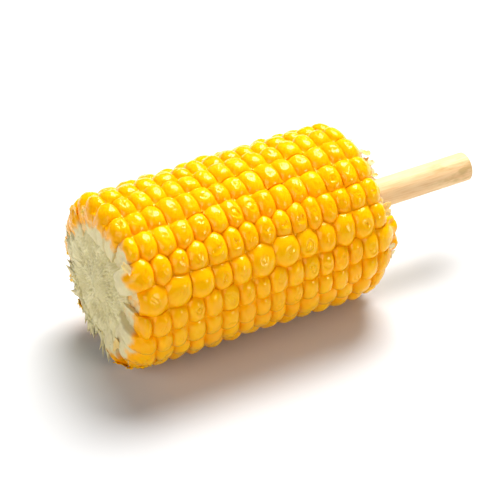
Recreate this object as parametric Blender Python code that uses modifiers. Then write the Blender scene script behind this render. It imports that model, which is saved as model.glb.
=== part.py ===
"""Corn on the cob on a wooden stick: a short length of a cooked ear, lying on its side.

The ear's axis runs along +X, from the snapped face to the stick. Three solids make it: the
kernels, fused into one sleeve round the cob, the cob that runs through them, and the stick.

The sleeve starts as a net of cells, one for each kernel, whose edges are the creases between
kernels. Each cell is then inset to a shoulder and a top, raised, and poked, so that every kernel
is a low dome.
"""

import math
import random

import bmesh
import bpy
from mathutils import Matrix, Vector

MM = 0.001

# The ear
EAR_LENGTH = 77.5 * MM
CROWN_RADIUS_SNAPPED_END = 25.4 * MM
CROWN_RADIUS_STICK_END = 25.9 * MM
ROUNDED_LENGTH = 7.0 * MM  # at each end, where the rows curve in
ROUNDING_SNAPPED_END = 0.6 * MM
ROUNDING_STICK_END = 1.8 * MM
FLAT_DEPTH = 0.6 * MM  # how far the weight presses in the kernels that the ear lies on

# The rows of kernels, counted from the top towards -Y. Angles are from straight up, that way.
ROW_COUNTS = (15, 15, 15, 12, 16, 16, 15, 14, 15, 16, 13, 15, 14, 15, 15, 16, 14, 13, 15, 15)
FIRST_KERNELS_MM = (5.0, 3.8, 5.7, 8.2, 2.8, 4.2, 5.4, 6.4, 3.4, 4.6)  # what the snap left of them
KERNEL_ROWS = len(ROW_COUNTS)
ROW_STEP = 2 * math.pi / KERNEL_ROWS
FIRST_ROW_ANGLE = math.radians(14)
ROW_TWIST = math.radians(-8.5)  # from one end of the ear to the other
LAYOUT_SEED = 806382
UNEVEN_LENGTH = 0.12
TORN_EDGE = 0.7 * MM  # how unevenly the rows end

# The creases
CREASE_BETWEEN_ROWS = 2.9 * MM  # below the crowns
CREASE_IN_ROW = 2.2 * MM
CREASE_ZIGZAG = 0.8 * MM  # how far a crown bulges between the two kernels that it faces
FULL_ZIGZAG_STEP = 2.4 * MM  # corners that are nearer to each other bulge less
LEAST_CREASE_STEP = 1.3 * MM  # corners of two rows that are closer than this are one corner
CREASE_WANDER = 0.4 * MM  # how far a crease swings to both sides of its straight line
WANDER_LENGTH = 27.0 * MM

# The crowns. A kernel's sides turn over at its shoulder, towards its top.
SHOULDER_INSET = 0.4 * MM  # from the crease
SHOULDER_DROP = 1.3 * MM  # below the crown
TOP_INSET = 0.85 * MM  # from the shoulder
TOP_DROP = 0.4 * MM
CORNER_POWER = 3.0  # 2 rounds a crown's outline to an oval, more leaves it squarer
UNEVEN_CROWN = 0.25 * MM
DENTED_SHARE = 0.4
DENT_DEPTH = 0.75 * MM

# The bare sides of the kernels at both ends
FLANK_INSET = 0.8 * MM
FLANK_BULGE = 1.0 * MM
FLANK_CREST = 0.3 * MM  # how far the middle of a side stands out beyond the bulge
UNEVEN_FLANK = 0.5 * MM
FOOT_RECESS = 1.2 * MM  # of the kernels' feet, behind the ends of the rows

# The cob
COB_RADIUS = 14.2 * MM
CLEARANCE = 0.3 * MM
COB_SIDES = 40
BORE_SECTIONS = 4
SNAPPED_FACE_BULGE = 2.4 * MM
SNAPPED_FACE_RELIEF = 0.45 * MM
SNAPPED_FACE_RINGS = 4

# The stick
STICK_RADIUS = 4.25 * MM
STICK_SHOWN = 40.0 * MM
STICK_DEPTH = 44.0 * MM
STICK_ABOVE_AXIS = 0.9 * MM
STICK_SIDES = 32
STICK_EDGE_BEVEL = 0.4 * MM
SHARP_ANGLE = math.radians(40)

# Worked out from the sizes above
MEAN_CROWN_RADIUS = (CROWN_RADIUS_SNAPPED_END + CROWN_RADIUS_STICK_END) / 2
SNAPPED_END = -EAR_LENGTH / 2
STICK_END = EAR_LENGTH / 2
FEET_START = SNAPPED_END + FOOT_RECESS
FEET_END = STICK_END - FOOT_RECESS
BORE_START = STICK_END - STICK_DEPTH


def clear_scene():
    for obj in list(bpy.data.objects):
        bpy.data.objects.remove(obj, do_unlink=True)


def new_collection(name):
    collection = bpy.data.collections.new(name)
    bpy.context.scene.collection.children.link(collection)
    return collection


def new_object(name, bm, collection, material=None):
    """An object made from bm, which is freed."""
    mesh = bpy.data.meshes.new(name)
    bm.to_mesh(mesh)
    bm.free()
    if material:
        mesh.materials.append(material)
    obj = bpy.data.objects.new(name, mesh)
    collection.objects.link(obj)
    return obj


def new_material(name, color, roughness):
    material = bpy.data.materials.new(name)
    material.use_nodes = True
    shader = material.node_tree.nodes["Principled BSDF"]
    shader.inputs["Base Color"].default_value = (*color, 1.0)
    shader.inputs["Roughness"].default_value = roughness
    shader.inputs["Metallic"].default_value = 0.0
    return material


def crown_radius(x):
    """The ear's radius over the crowns: it grows towards the stick, and is rounded at both ends."""
    share = (x - SNAPPED_END) / EAR_LENGTH
    radius = CROWN_RADIUS_SNAPPED_END + share * (CROWN_RADIUS_STICK_END - CROWN_RADIUS_SNAPPED_END)
    near = max(0.0, 1 - (x - SNAPPED_END) / ROUNDED_LENGTH)
    far = max(0.0, 1 - (STICK_END - x) / ROUNDED_LENGTH)
    return radius - ROUNDING_SNAPPED_END * near**2 - ROUNDING_STICK_END * far**2


def on_ear(x, row, radius):
    """A point over the middle of a row, where row counts from 0 and may lie between two rows."""
    angle = FIRST_ROW_ANGLE + row * ROW_STEP + ROW_TWIST * x / EAR_LENGTH
    return Vector((x, -radius * math.sin(angle), radius * math.cos(angle)))


def row_edges(row, draw):
    """Where one row's kernels meet, from its torn end at the snapped face to the one at the stick."""
    far = STICK_END + draw.uniform(-TORN_EDGE, TORN_EDGE)
    near = SNAPPED_END + draw.uniform(-TORN_EDGE, TORN_EDGE)
    first = FIRST_KERNELS_MM[row % len(FIRST_KERNELS_MM)] * MM
    edges = [near, SNAPPED_END + first]
    shares = [draw.uniform(1 - UNEVEN_LENGTH, 1 + UNEVEN_LENGTH) for _ in range(ROW_COUNTS[row] - 1)]
    step = (far - edges[-1]) / sum(shares)
    for share in shares:
        edges.append(edges[-1] + share * step)
    return edges


def crease_corners(rows, row):
    """The corners along the crease between a row and the next, as lists of x and of the edges there.

    An edge is (row, place). Corners of both rows that nearly meet become one.
    """
    after = (row + 1) % KERNEL_ROWS
    inner = sorted((x, (r, place)) for r in (row, after) for place, x in enumerate(rows[r][1:-1], 1))
    corners = [[(rows[row][0] + rows[after][0]) / 2, [(row, 0), (after, 0)]]]
    for x, edge in inner:
        before_x, before_edges = corners[-1]
        if x - before_x < LEAST_CREASE_STEP and len(before_edges) == 1:
            corners[-1] = [(before_x + x) / 2, before_edges + [edge]]
        else:
            corners.append([x, [edge]])
    ends = [(r, ROW_COUNTS[r]) for r in (row, after)]
    corners.append([(rows[row][-1] + rows[after][-1]) / 2, ends])
    return corners


def crease_lean(corners, index, row):
    """How far a crease's corner lies from the line between the rows, towards the next row."""
    x, edges = corners[index]
    lean = CREASE_WANDER * math.sin(2 * math.pi * x / WANDER_LENGTH + row * row)
    if len(edges) == 1:
        gap = min(x - corners[index - 1][0], corners[index + 1][0] - x)
        toward = -1 if edges[0][0] == row else 1
        lean += toward * CREASE_ZIGZAG * min(1.0, gap / FULL_ZIGZAG_STEP)
    return lean


def add_crease(bm, rows, row):
    """The crease's vertices in order, and the place of each edge among them."""
    vertices, places = [], {}
    corners = crease_corners(rows, row)
    for index, (x, edges) in enumerate(corners):
        across = row + 0.5 + crease_lean(corners, index, row) / (MEAN_CROWN_RADIUS * ROW_STEP)
        for edge in edges:
            places[edge] = index
        vertices.append(bm.verts.new(on_ear(x, across, crown_radius(x) - CREASE_BETWEEN_ROWS)))
    return vertices, places


def add_foot_rings(bm):
    """The bore's rings of vertices from end to end, each with a vertex in line with each crease."""
    facet = ROW_STEP + abs(ROW_TWIST) / BORE_SECTIONS
    radius = (COB_RADIUS + CLEARANCE) / math.cos(facet / 2)
    rings = []
    for section in range(BORE_SECTIONS + 1):
        x = FEET_START + (FEET_END - FEET_START) * section / BORE_SECTIONS
        rings.append([bm.verts.new(on_ear(x, row + 0.5, radius)) for row in range(KERNEL_ROWS)])
    return rings


def round_outline(cell):
    """Draws the corners of a cell in, towards an outline between an oval and a rectangle."""
    middle = cell.calc_center_median()
    along = Vector((1.0, 0.0, 0.0))
    across = along.cross(Vector((0.0, middle.y, middle.z))).normalized()
    half_length = max(abs((vert.co - middle).dot(along)) for vert in cell.verts)
    half_width = max(abs((vert.co - middle).dot(across)) for vert in cell.verts)
    for vert in cell.verts:
        share_along = abs((vert.co - middle).dot(along)) / half_length
        share_across = abs((vert.co - middle).dot(across)) / half_width
        reach = (share_along**CORNER_POWER + share_across**CORNER_POWER) ** (1 / CORNER_POWER)
        vert.co = middle + (vert.co - middle) / max(1.0, reach)


def set_radius(vert, radius):
    """Moves a vertex straight out or in, to that distance from the ear's axis."""
    vert.co.yz = vert.co.yz.normalized() * radius


def raise_crown(bm, cell, draw):
    """Makes a cell of the net into a kernel's crown: steep sides, a rounded top, and perhaps a dent."""
    lift = draw.uniform(-UNEVEN_CROWN, UNEVEN_CROWN)
    dent = DENT_DEPTH if draw.random() < DENTED_SHARE else 0.0
    for inset, drop in ((SHOULDER_INSET, SHOULDER_DROP), (TOP_INSET, TOP_DROP)):
        bmesh.ops.inset_individual(bm, faces=[cell], thickness=inset, use_even_offset=True)
        round_outline(cell)
        for vert in cell.verts:
            set_radius(vert, crown_radius(vert.co.x) - drop + lift)
    top = bmesh.ops.poke(bm, faces=[cell])["verts"][0]
    set_radius(top, crown_radius(top.co.x) + lift - dent)


def swell_flank(bm, cell, outward, draw):
    """Makes an end cell into the bare side of a row's last kernel."""
    bmesh.ops.inset_individual(bm, faces=[cell], thickness=FLANK_INSET, use_even_offset=True)
    bulge = FLANK_BULGE + draw.uniform(-UNEVEN_FLANK, UNEVEN_FLANK)
    for vert in cell.verts:
        vert.co.x += outward * bulge
    crest = bmesh.ops.poke(bm, faces=[cell])["verts"][0]
    crest.co.x += outward * FLANK_CREST


def kernel_net():
    """The sleeve of kernels, closed by the bare flanks at both ends and the bore for the cob."""
    draw = random.Random(LAYOUT_SEED)
    rows = [row_edges(row, draw) for row in range(KERNEL_ROWS)]
    bm = bmesh.new()
    creases = [add_crease(bm, rows, row) for row in range(KERNEL_ROWS)]
    rings = add_foot_rings(bm)
    crowns, flanks = [], []
    for row, edges in enumerate(rows):
        middles = [bm.verts.new(on_ear(x, row, crown_radius(x) - CREASE_IN_ROW)) for x in edges]
        (low, low_places), (high, high_places) = creases[row - 1], creases[row]
        for place in range(ROW_COUNTS[row]):
            start, end = (row, place), (row, place + 1)
            low_side = low[low_places[start] : low_places[end] + 1]
            high_side = high[high_places[start] : high_places[end] + 1]
            loop = low_side + [middles[place + 1]] + high_side[::-1] + [middles[place]]
            crowns.append(bm.faces.new(loop))
        for end, feet, outward in ((0, rings[0], -1), (-1, rings[-1], 1)):
            loop = [low[end], middles[end], high[end], feet[row], feet[row - 1]]
            flanks.append((bm.faces.new(loop), outward))
        for feet, after in zip(rings, rings[1:]):
            bm.faces.new([feet[row - 1], feet[row], after[row], after[row - 1]])
    bmesh.ops.recalc_face_normals(bm, faces=bm.faces)
    for cell in crowns:
        raise_crown(bm, cell, draw)
    for cell, outward in flanks:
        swell_flank(bm, cell, outward, draw)
    return bm


def lying_bar(radius, start, end, sides):
    """A cylinder along X, from start to end."""
    bm = bmesh.new()
    bmesh.ops.create_cone(
        bm, cap_ends=True, segments=sides, radius1=radius, radius2=radius, depth=end - start
    )
    middle = Matrix.Translation(((start + end) / 2, 0.0, 0.0))
    bmesh.ops.transform(bm, matrix=middle @ Matrix.Rotation(math.pi / 2, 4, "Y"), verts=bm.verts)
    return bm


def snapped_cob():
    """The woody cob, its near face snapped off: a low dome of rough rings."""
    draw = random.Random(LAYOUT_SEED)
    bm = lying_bar(COB_RADIUS, SNAPPED_END, FEET_END, COB_SIDES)
    face = min(bm.faces, key=lambda f: f.calc_center_median().x)
    for _ in range(SNAPPED_FACE_RINGS):
        step = COB_RADIUS / (SNAPPED_FACE_RINGS + 1)
        bmesh.ops.inset_individual(bm, faces=[face], thickness=step, use_even_offset=True)
    bmesh.ops.poke(bm, faces=[face])
    for vert in bm.verts:
        if vert.co.x < 0:
            reach = vert.co.yz.length / COB_RADIUS
            vert.co.x -= SNAPPED_FACE_BULGE * (1 - reach**2)
            vert.co.x += draw.uniform(-SNAPPED_FACE_RELIEF, SNAPPED_FACE_RELIEF)
    return bm


def add_cutter(obj, cutter):
    """Cuts obj with a hidden helper."""
    cutter.hide_render = True
    cutter.display_type = "WIRE"
    modifier = obj.modifiers.new("Cut", "BOOLEAN")
    modifier.operation = "DIFFERENCE"
    modifier.object = cutter


def build_kernels(parts, cutters):
    """The sleeve of kernels, pressed flat where the ear lies."""
    material = new_material("cooked_kernel", (0.96, 0.56, 0.02), 0.3)
    kernels = new_object("kernels", kernel_net(), parts, material)
    block_size = 2 * EAR_LENGTH
    bm = bmesh.new()
    bmesh.ops.create_cube(bm, size=block_size)
    floor = new_object("floor_cutter", bm, cutters)
    floor.location.z = FLAT_DEPTH - crown_radius(0.0) - block_size / 2
    add_cutter(kernels, floor)
    return kernels


def build_cob(parts, cutters):
    material = new_material("woody_cob", (0.72, 0.68, 0.42), 0.75)
    cob = new_object("cob", snapped_cob(), parts, material)
    bore = lying_bar(STICK_RADIUS + CLEARANCE, BORE_START, STICK_END, COB_SIDES)
    cutter = new_object("stick_bore", bore, cutters)
    cutter.location.z = STICK_ABOVE_AXIS
    add_cutter(cob, cutter)
    return cob


def build_stick(parts):
    material = new_material("bare_wood", (0.8, 0.58, 0.34), 0.7)
    bar = lying_bar(STICK_RADIUS, BORE_START + CLEARANCE, STICK_END + STICK_SHOWN, STICK_SIDES)
    stick = new_object("stick", bar, parts, material)
    stick.location.z = STICK_ABOVE_AXIS
    bevel = stick.modifiers.new("Worn_edge", "BEVEL")
    bevel.width = STICK_EDGE_BEVEL
    bevel.segments = 2
    bevel.limit_method = "ANGLE"
    stick.data.shade_smooth()
    stick.data.set_sharp_from_angle(angle=SHARP_ANGLE)
    return stick


def stand_on_floor(parts):
    """Moves everything so that the middle of the outline's box is over the origin, on the floor."""
    graph = bpy.context.evaluated_depsgraph_get()
    points = []
    for obj in parts.objects:
        shape = obj.evaluated_get(graph)
        points += [shape.matrix_world @ vert.co for vert in shape.to_mesh().vertices]
    low, high = (Vector(pick(axis) for axis in zip(*points)) for pick in (min, max))
    move = Vector((-(low.x + high.x) / 2, -(low.y + high.y) / 2, -low.z))
    for obj in bpy.data.objects:
        obj.location += move


def main():
    clear_scene()
    parts = new_collection("corn_on_the_cob")
    cutters = new_collection("cutters")
    build_kernels(parts, cutters)
    build_cob(parts, cutters)
    build_stick(parts)
    stand_on_floor(parts)


main()
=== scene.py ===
import math
import random
from collections import namedtuple

import bmesh
import bpy
import numpy as np
from mathutils import Matrix, Vector


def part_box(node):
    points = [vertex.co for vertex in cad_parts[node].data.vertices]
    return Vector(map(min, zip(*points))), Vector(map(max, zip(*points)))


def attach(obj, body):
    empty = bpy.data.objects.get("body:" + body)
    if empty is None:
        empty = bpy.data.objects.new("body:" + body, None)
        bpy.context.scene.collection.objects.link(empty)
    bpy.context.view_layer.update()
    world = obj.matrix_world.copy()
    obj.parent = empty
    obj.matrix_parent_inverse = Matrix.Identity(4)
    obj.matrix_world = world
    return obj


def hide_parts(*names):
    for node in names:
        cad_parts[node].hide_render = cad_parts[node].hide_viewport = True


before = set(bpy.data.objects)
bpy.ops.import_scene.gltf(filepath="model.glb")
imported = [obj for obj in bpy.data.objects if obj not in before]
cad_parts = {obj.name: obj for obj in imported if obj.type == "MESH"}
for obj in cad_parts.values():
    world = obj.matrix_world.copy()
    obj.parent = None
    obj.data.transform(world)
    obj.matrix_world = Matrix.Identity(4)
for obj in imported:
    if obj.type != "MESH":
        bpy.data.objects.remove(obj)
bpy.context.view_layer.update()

# Corn on the cob: the looks of a short length of cooked ear on a wooden stick.
# Shapes are made in the ear's own space: x along the ear from its middle, angles round it from
# straight up towards -Y, radii from its axis. EAR_MIDDLE then puts them where the CAD solids are.

MM = 0.001
SEEDS = 1 << 30  # how many there are to draw from
FLOOR_GAP = 0.01 * MM  # between the lowest points and the floor

# The ear and its rows, as the solids have them
EAR_LENGTH = 77.5 * MM
CROWN_RADIUS_SNAPPED_END = 25.4 * MM
CROWN_RADIUS_STICK_END = 25.9 * MM
ROUNDED_LENGTH = 7.0 * MM
ROUNDING_SNAPPED_END = 0.6 * MM
ROUNDING_STICK_END = 1.8 * MM
ROW_COUNTS = (15, 15, 15, 12, 16, 16, 15, 14, 15, 16, 13, 15, 14, 15, 15, 16, 14, 13, 15, 15)
FIRST_KERNELS_MM = (5.0, 3.8, 5.7, 8.2, 2.8, 4.2, 5.4, 6.4, 3.4, 4.6)
KERNEL_ROWS = len(ROW_COUNTS)
ROW_STEP = 2 * math.pi / KERNEL_ROWS
FIRST_ROW_ANGLE = math.radians(14)
ROW_TWIST = math.radians(-8.5)
LAYOUT_SEED = 806382
UNEVEN_LENGTH = 0.12
TORN_EDGE = 0.7 * MM
CREASE_ZIGZAG = 0.8 * MM
FULL_ZIGZAG_STEP = 2.4 * MM
LEAST_CREASE_STEP = 1.3 * MM
CREASE_WANDER = 0.4 * MM
WANDER_LENGTH = 27.0 * MM
UNEVEN_CROWN = 0.25 * MM
DENTED_SHARE = 0.4
FOOT_RECESS = 1.2 * MM
COB_RADIUS = 14.2 * MM
STICK_SHOWN = 40.0 * MM
STICK_DEPTH = 44.0 * MM
STICK_ABOVE_AXIS = 0.9 * MM
CLEARANCE = 0.3 * MM

SNAPPED_END = -EAR_LENGTH / 2
STICK_END = EAR_LENGTH / 2
MEAN_RADIUS = (CROWN_RADIUS_SNAPPED_END + CROWN_RADIUS_STICK_END) / 2

stick_low, stick_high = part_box("stick")
STICK_RADIUS = (stick_high.z - stick_low.z) / 2
EAR_MIDDLE = Vector((
    stick_high.x - STICK_SHOWN - STICK_END,
    (stick_low.y + stick_high.y) / 2,
    (stick_low.z + stick_high.z) / 2 - STICK_ABOVE_AXIS,
))

# A kernel's mesh: spokes round it, rings over its crown, rings down its sides
SPOKES = 56
SIDE_RINGS = 2
BARE_SIDE_RINGS = 18
PIECES = (  # name, first row, rows, rings over a crown: more where the skin is seen closest
    ("top_kernels", -2, 3, 27),
    ("shoulder_kernels", 1, 2, 27),
    ("front_kernels", 3, 3, 26),
    ("lower_front_kernels", 6, 3, 20),
    ("underside_kernels", 9, 4, 10),
    ("back_kernels", 13, 5, 12),
)

# The kernels' form
CREASE_GAP = 0.004  # of a kernel's half width, so that neighbours touch but share no face
CROWN_SPREAD = 1.14  # a crown's round form would end this much beyond the crease that cuts it off
DEEPEST_CREASE = 0.92  # where creases meet, they stop at this share of that form
CREASE_DEPTH = 3.6 * MM  # how far that form would fall in all
FULLNESS = (1.9, 2.3)  # 2 is a round crown, more is flatter with steeper sides
OUTLINE_SOFTNESS = (3.6, 5.2)  # spokes over which a crown's outline is evened out
CROWN_TILT = 0.07
LUMP_HEIGHT = 0.07 * MM
LUMP_WIDTH = 3.2 * MM
FOOT_SHARE = 0.82  # a kernel's length at its foot, as a share of that at its crown
FOOT_RADIUS = COB_RADIUS + 0.2 * MM
ROOT_RADIUS = 10.0 * MM  # where the bare sides at the snapped face sink into the cob
CROWN_SWELL = 0.6  # of a rim's swell, at the crown's edge
SIDE_SWELL = 0.7  # of a rim's swell, below the crown
SIDE_WIDENING = 0.1  # a bare side's extra width halfway down, as a share

# The wrinkles on shrunken kernels
TOP_ROWS = (18, 19, 0, 1, 2)
FRONT_ROWS = (3, 4, 5, 6, 7)
WRINKLED_SHARES = {"top": 0.95, "front": 0.65, "hidden": 0.25}  # of the kernels that are not sunken
HOLLOW_SIZES_MM = (1.2, 1.9)
HOLLOW_RIMS_MM = (0.12, 0.26)
SUNKEN_DEPTHS_MM = (0.16, 0.36)
WRINKLE_DEPTHS_MM = (0.07, 0.17)
FOLD_WIDTHS_MM = (0.9, 1.4)
WRINKLE_KINDS = ("ring", "mound", "bars", "crescent", "crescent", "pinch", "crumple", "crumple")

# The kernels at the snapped face: how far the bare side swells out, or is drawn in where that is
# negative, how far along its crown and out from the axis it is pale, and how much of its height the
# snap tore off, in mm
Rim = namedtuple("Rim", "swell pale_length pale_radius torn")
PLAIN_RIM = Rim(0.8, 1.0, 23.8, 0.0)
RIMS = {
    18: Rim(1.2, 0.6, 18.0, 0.0),
    19: Rim(1.0, 1.0, 19.2, 0.0),
    0: Rim(0.9, 1.2, 19.5, 0.0),
    1: Rim(-0.4, 1.8, 22.5, 0.0),
    2: Rim(3.0, 3.0, 22.0, 0.0),
    3: Rim(-0.8, 1.4, 20.6, 0.0),
    4: Rim(0.4, 1.0, 19.0, 0.0),
    5: Rim(3.0, 2.0, 20.5, 0.0),
    6: Rim(3.2, 2.4, 20.5, 0.3),
    7: Rim(-0.5, 1.4, 19.5, 0.5),
    8: Rim(1.2, 1.2, 20.0, 0.8),
    9: Rim(0.8, 7.0, 30.0, 4.2),
    10: Rim(0.8, 7.0, 30.0, 4.6),
    11: Rim(0.6, 1.6, 22.5, 1.6),
    14: Rim(1.4, 0.6, 20.6, 0.0),
    15: Rim(1.0, 0.6, 19.0, 0.0),
    16: Rim(1.8, 0.4, 18.0, 0.0),
    17: Rim(1.4, 0.4, 17.0, 0.0),
}
# The same for the kernels at the stick
FAR_RIM = Rim(1.1, 0.4, 21.5, 0.0)
FAR_RIMS = {
    1: Rim(2.0, 0.4, 21.0, 0.0),
    3: Rim(0.5, 1.8, 22.5, 0.0),
    4: Rim(5.2, 0.4, 16.5, 0.0),
    5: Rim(4.8, 0.4, 16.5, 0.0),
    6: Rim(2.4, 0.4, 21.0, 0.0),
}
PALE_BLEND = 2.4 * MM  # the width of the change from yellow to pale

# The camera, as fitted to the photograph
CAMERA_TURN = 29.18  # degrees from looking along +Y, towards +X
CAMERA_LIFT = 35.37  # degrees above the floor
CAMERA_DISTANCE = 700 * MM
CAMERA_SENSOR = 36.0  # mm
CAMERA_LENS = 180.84  # mm
CAMERA_RIGHT = 6.152 * MM
CAMERA_UP = -1.476 * MM
CAMERA_CLIP = 10 * MM

# The studio: square soft boxes, their direction from the ear, distance and size in metres, and watts
SoftBox = namedtuple("SoftBox", "name direction distance size watts")
SOFT_BOXES = (
    SoftBox("back_soft_box", (0.34, 0.33, 0.88), 0.8, 0.52, 13.9),
    SoftBox("front_soft_box", (0.40, -0.87, 0.26), 0.9, 0.28, 2.5),
    SoftBox("left_soft_box", (-0.85, -0.3, 0.45), 0.9, 0.6, 3.75),
)
WALL_BRIGHTNESS = 0.05
FLOOR_REACH = 3.0

# The snapped face of the cob
FACE_SPOKES = 420
FACE_RINGS = 60
PITH_HEIGHT = 2.3 * MM
PITH_TIP = 0.4 * MM  # how much further the very middle stands out
PITH_RADIUS = 3.4 * MM
FACE_EDGE = 13.5 * MM  # where the face ends on the camera's side
TORN_APRON = 7.0 * MM  # how much further its fibres cover the kernels' sides on the other side
APRON_MIDDLE = math.radians(238)
FACE_LIP = 1.9 * MM  # how far behind the ends of the rows the face's torn edge goes
LIP_INSET = 0.6 * MM
LIP_TAPER = 0.4 * MM
FAR_FACE_RINGS = 14
BORE_RINGS = 3
BORE_CLEARANCE = 0.15 * MM
OUT_OF_FACE = np.array((-1.0, 0.0, 0.0))

# Strands that the snap pulled out of the cob, by where they start. The ranges are in mm, and the
# turn is how far in radians they stray from straight outwards.
Strands = namedtuple("Strands", "count length width curl turn")
FACE_STRANDS = Strands(260, (0.9, 2.6), (0.14, 0.32), (0.0, 0.4), 0.7)
APRON_STRANDS = Strands(110, (2.4, 5.0), (0.35, 0.9), (-0.6, 0.9), 0.22)
TUFTS = Strands(34, (6.0, 9.0), (1.8, 3.6), (-0.2, 0.8), 0.22)
FACE_STARTS_MM = (4.0, 12.5)
APRON_STARTS = (0.72, 0.97)  # of the way to the face's edge
APRON_SPREAD = 0.85
TUFT_STARTS_MM = (15.0, 18.0)
TUFT_GATHERING = (math.radians(212), math.radians(26))  # the angle where they gather, and its spread
STRAND_SEED = 51
STRAND_SECTIONS = 7
STRAND_TIP = 0.03 * MM
STRAND_ROOT = 0.2 * MM
STRAND_MARGIN = 0.2 * MM  # how far inside the crowns a strand ends

# Scraps of skin and chaff
SCRAP_THICKNESS = 0.14 * MM
SCRAP_STEPS = 10
SCRAP_SEED = 70
CHAFF_FLAKES = 90
CHAFF_STEPS = 7
CHAFF_SEED = 61
CHAFF_SHAPE_SEED = 200
CHAFF_RADII_MM = (17.5, 22.5)
CHAFF_GATHERING = (math.radians(50), math.radians(55))  # the same for half of the flakes

# The stick's mesh
STICK_SPOKES = 120
STICK_SECTIONS = 110
STICK_END_RINGS = 14
STICK_EDGE_SHARE = 1 / 3  # of those rings, on the worn edge
STICK_EDGE_WEAR = 0.5 * MM
STICK_GRAIN_LENGTH = 14  # times its width
STICK_PARING = 0.04 * MM  # under the full radius, so that the raised grain stays inside it

# The patterns in the materials, as the width of one feature
CLOUD_SIZE = 2.4 * MM
LOOSE_SKIN_FOLD = 0.77 * MM
FLANK_FIBRE = 0.67 * MM  # real ones are near 0.1 mm, too fine to show, so they are drawn coarser
COB_THREAD = 0.38 * MM  # real ones are near 0.1 mm, too fine to show, so they are drawn coarser
COB_GRAIN = 0.43 * MM
COB_PATCH = 3.0 * MM
THREAD_CIRCLE = 14.0 * MM  # the radius at which the threads have that width
THREAD_STRETCH = 0.12  # how much slower they change along the radii
BIRCH_GRAIN = 0.42 * MM  # real pores are near 0.1 mm, too fine to show, so they are drawn coarser
BIRCH_GRAIN_STRETCH = (0.06, 1.0, 1.0)
BIRCH_BAND = 3.8 * MM
BIRCH_SMUDGE = 2.4 * MM
BIRCH_BAND_STRETCH = (0.3, 1.0, 1.0)
STAIN_STARTS = STICK_END + 0.45 * STICK_SHOWN
STAIN_FULL = STICK_END + 0.85 * STICK_SHOWN


def linear(hex_color):
    """An sRGB hex colour as linear RGBA."""
    channels = [int(hex_color[i : i + 2], 16) / 255 for i in (1, 3, 5)]
    return (*(c / 12.92 if c <= 0.04045 else ((c + 0.055) / 1.055) ** 2.4 for c in channels), 1.0)


def crown_radius(x):
    """The ear's radius over the crowns, at x or an array of them."""
    share = (x - SNAPPED_END) / EAR_LENGTH
    radius = CROWN_RADIUS_SNAPPED_END + share * (CROWN_RADIUS_STICK_END - CROWN_RADIUS_SNAPPED_END)
    near = np.maximum(0.0, 1 - (x - SNAPPED_END) / ROUNDED_LENGTH)
    far = np.maximum(0.0, 1 - (STICK_END - x) / ROUNDED_LENGTH)
    return radius - ROUNDING_SNAPPED_END * near**2 - ROUNDING_STICK_END * far**2


def around_ear(x, angle, radius):
    """Points in the ear's space, from arrays of places along it, angles and radii."""
    return np.stack(np.broadcast_arrays(x, -radius * np.sin(angle), radius * np.cos(angle)), axis=-1)


def ways_at(angle):
    """The ways outwards from the ear's axis and on round it, at an angle."""
    return around_ear(0.0, angle, 1.0), around_ear(0.0, angle + math.pi / 2, 1.0)


def in_plane(x, y):
    """Points of a plane, from arrays of their two coordinates."""
    return np.stack((x, y, np.zeros_like(x)), axis=-1)


def unit(vector):
    """The vector of length 1 in the same direction."""
    return vector / np.linalg.norm(vector)


def row_angle(x, row):
    """The angle round the ear at x of a row, or of a place between two."""
    return FIRST_ROW_ANGLE + row * ROW_STEP + ROW_TWIST * x / EAR_LENGTH


def smooth_step(value):
    """0 below 0, 1 above 1, and a soft curve between."""
    t = np.clip(value, 0.0, 1.0)
    return t * t * (3 - 2 * t)


def groove(distance, width):
    """A soft groove's profile, 1 along its middle."""
    return np.exp(-((distance / width) ** 2))


def ripple(points, wavelength, seed, waves=7):
    """Soft noise, about -1 to 1, from a few sine waves in seeded directions."""
    draw = np.random.default_rng(seed)
    total = np.zeros(points.shape[:-1])
    for _ in range(waves):
        direction = unit(draw.normal(size=3))
        pitch = wavelength * draw.uniform(0.7, 1.5)
        total += np.sin(points @ direction * (2 * math.pi / pitch) + draw.uniform(0, 2 * math.pi))
    return total / math.sqrt(waves) / 1.2


def row_edges(row, draw):
    """Where one row's kernels meet, by the rule and the draws that the solids have."""
    far = STICK_END + draw.uniform(-TORN_EDGE, TORN_EDGE)
    near = SNAPPED_END + draw.uniform(-TORN_EDGE, TORN_EDGE)
    first = FIRST_KERNELS_MM[row % len(FIRST_KERNELS_MM)] * MM
    edges = [near, SNAPPED_END + first]
    shares = [draw.uniform(1 - UNEVEN_LENGTH, 1 + UNEVEN_LENGTH) for _ in range(ROW_COUNTS[row] - 1)]
    step = (far - edges[-1]) / sum(shares)
    for share in shares:
        edges.append(edges[-1] + share * step)
    return edges


def crease_corners(rows, row):
    """Corners (x, row) along the crease after a row, with the edges (row, place) that end there."""
    after = (row + 1) % KERNEL_ROWS
    inner = sorted((x, (r, place)) for r in (row, after) for place, x in enumerate(rows[r][1:-1], 1))
    corners = [[(rows[row][0] + rows[after][0]) / 2, [(row, 0), (after, 0)]]]
    for x, edge in inner:
        before_x, before_edges = corners[-1]
        if x - before_x < LEAST_CREASE_STEP and len(before_edges) == 1:
            corners[-1] = [(before_x + x) / 2, before_edges + [edge]]
        else:
            corners.append([x, [edge]])
    ends = [(r, len(rows[r]) - 1) for r in (row, after)]
    corners.append([(rows[row][-1] + rows[after][-1]) / 2, ends])
    placed = []
    for i, (x, edges) in enumerate(corners):
        lean = CREASE_WANDER * math.sin(2 * math.pi * x / WANDER_LENGTH + row * row)
        if len(edges) == 1:
            gap = min(x - corners[i - 1][0], corners[i + 1][0] - x)
            toward = -1 if edges[0][0] == row else 1
            lean += toward * CREASE_ZIGZAG * min(1.0, gap / FULL_ZIGZAG_STEP)
        placed.append((x, 0.5 + lean / (MEAN_RADIUS * ROW_STEP), edges))
    return placed


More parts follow.
